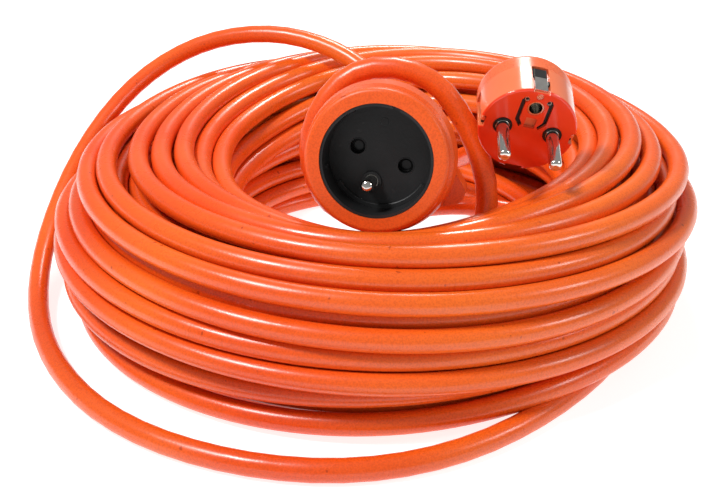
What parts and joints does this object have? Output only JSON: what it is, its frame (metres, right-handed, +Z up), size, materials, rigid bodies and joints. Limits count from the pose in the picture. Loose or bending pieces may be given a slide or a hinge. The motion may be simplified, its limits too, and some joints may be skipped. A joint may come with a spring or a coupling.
{
  "type": "extension cord",
  "caption": "Coiled orange extension cord with an earthed moulded coupler and an earthed moulded plug resting on the coil, and a free loop lying round it.",
  "frame": {"origin": "middle of the footprint on the plane that the cord lies on, Z = 0 the underside", "axes": "+Z up; -Y is the side that the coupler's and the plug's faces look to; +X is to the right seen from there"},
  "size_m": [0.2871, 0.2953, 0.1135],
  "materials": {
    "orange_cord": "smooth extruded cord jacket with a satin sheen",
    "orange_rubber": "fine satin moulding",
    "orange_gloss": "glossy moulding",
    "black_plastic": "satin black moulding",
    "dark_plastic": "matt dark grey",
    "nickel_pin": "bright nickel plate",
    "brass_contact": "satin brass",
    "spring_steel": "drawn wire",
    "brown_wire": "core insulation",
    "blue_wire": "core insulation",
    "green_wire": "core insulation, green with a yellow stripe"
  },
  "bodies": {
    "cord_set": {"socket_housing": "orange_rubber", "socket_insert": "black_plastic", "socket_inner_cover": "black_plastic", "socket_live_sleeve": "brass_contact", "socket_neutral_sleeve": "brass_contact", "socket_earth_pin": "nickel_pin", "shutter_spring": "spring_steel", "socket_live_wire": "brown_wire", "socket_neutral_wire": "blue_wire", "socket_earth_wire": "green_wire", "socket_cord_grip": "orange_rubber", "plug_front": "orange_gloss", "plug_rear": "orange_rubber", "plug_live_pin": "nickel_pin", "plug_neutral_pin": "nickel_pin", "plug_pin_collars": "black_plastic", "plug_earth_sleeve": "brass_contact", "plug_earth_bracket": "nickel_pin", "plug_earth_rivet": "brass_contact", "plug_live_wire": "brown_wire", "plug_neutral_wire": "blue_wire", "plug_earth_wire": "green_wire", "plug_cord_grip": "orange_rubber", "cord_coil": "orange_cord", "cord_socket_lead": "orange_cord", "cord_neck_loop": "orange_cord", "cord_plug_lead": "orange_cord"},
    "shutter": {"socket_shutter": "dark_plastic"}
  },
  "joints": [
    {"name": "shutter_slide", "type": "slide", "parent": "cord_set", "child": "shutter", "axis": [0.3586, 0.1829, 0.9154], "range_m": [0, 0.006], "stiffness_N_per_m": 300, "springref_m": -0.003, "deforming": ["shutter_spring"]}
  ]
}
